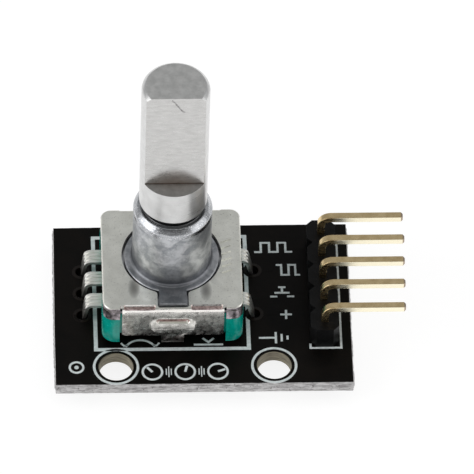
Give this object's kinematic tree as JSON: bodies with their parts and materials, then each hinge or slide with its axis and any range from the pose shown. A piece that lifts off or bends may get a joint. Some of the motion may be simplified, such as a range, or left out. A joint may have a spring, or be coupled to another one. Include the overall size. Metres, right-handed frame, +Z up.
{
  "type": "rotary encoder module",
  "caption": "Push-switch rotary encoder with a D-flatted metal shaft and keyed bushing on a small black board with right-angle header pins.",
  "frame": {"origin": "midway between the two mounting holes, on the underside of the board", "axes": "+Z up along the shaft, +X towards the header pins, +Y away from the mounting holes' edge"},
  "size_m": [0.0314, 0.0185, 0.0309],
  "materials": {
    "board": "black solder mask, semi-gloss",
    "silkscreen": "white ink print, matt",
    "plated_copper": "plated copper under thin mask, dull",
    "header_plastic": "moulded black plastic",
    "gold_pin": "thin gold plating, bright",
    "solder": "tin solder, bright satin",
    "chip_body": "glazed resistor body",
    "chip_cap": "tinned ends",
    "green_plastic": "moulded green plastic, satin",
    "terminal_metal": "tinned strip, satin",
    "spring_steel": "rolled spring strip",
    "plunger_plastic": "natural white plastic",
    "cover_steel": "tinned sheet steel, satin",
    "bushing_zinc": "die-cast zinc, burnished",
    "rotor_plastic": "moulded black plastic",
    "contact_brass": "stamped contact brass",
    "shaft_aluminium": "turned and milled aluminium"
  },
  "bodies": {
    "module": {"circuit_board": "board", "silkscreen": "silkscreen", "encoder_eyelets": "plated_copper", "header_eyelets": "plated_copper", "header_strip": "header_plastic", "header_pin_1": "gold_pin", "header_pin_2": "gold_pin", "header_pin_3": "gold_pin", "header_pin_4": "gold_pin", "header_pin_5": "gold_pin", "header_solder_1": "solder", "header_solder_2": "solder", "header_solder_3": "solder", "header_solder_4": "solder", "header_solder_5": "solder", "encoder_solder_1": "solder", "encoder_solder_2": "solder", "encoder_solder_3": "solder", "encoder_solder_4": "solder", "encoder_solder_5": "solder", "pull_up_body_1": "chip_body", "pull_up_body_2": "chip_body", "pull_up_caps_1": "chip_cap", "pull_up_caps_2": "chip_cap", "encoder_base": "green_plastic", "switch_base": "green_plastic", "contact_a": "terminal_metal", "contact_common": "terminal_metal", "contact_b": "terminal_metal", "switch_contact_ring": "terminal_metal", "switch_contact_centre": "terminal_metal", "snap_dome": "spring_steel", "detent_spring": "spring_steel", "cover": "cover_steel", "bushing": "bushing_zinc"},
    "rotor": {"rotor": "rotor_plastic", "contact_disc": "contact_brass"},
    "shaft": {"shaft": "shaft_aluminium", "retaining_clip": "spring_steel"},
    "plunger": {"plunger": "plunger_plastic"}
  },
  "joints": [
    {"name": "shaft_turn", "type": "hinge", "parent": "module", "child": "rotor", "pos_m": [-0.00195, 0.00842, 0.0045], "axis": [0, 0, 1], "continuous": true},
    {"name": "shaft_push", "type": "slide", "parent": "rotor", "child": "shaft", "axis": [0, 0, -1], "range_m": [0, 0.0005], "stiffness_N_per_m": 6000, "springref_m": -0.0002},
    {"name": "plunger_push", "type": "slide", "parent": "module", "child": "plunger", "axis": [0, 0, -1], "range_m": [0, 0.0005], "deforming": ["snap_dome"]}
  ],
  "couplings": [
    {"joint": "plunger_push", "follows": "shaft_push", "ratio": 1}
  ]
}
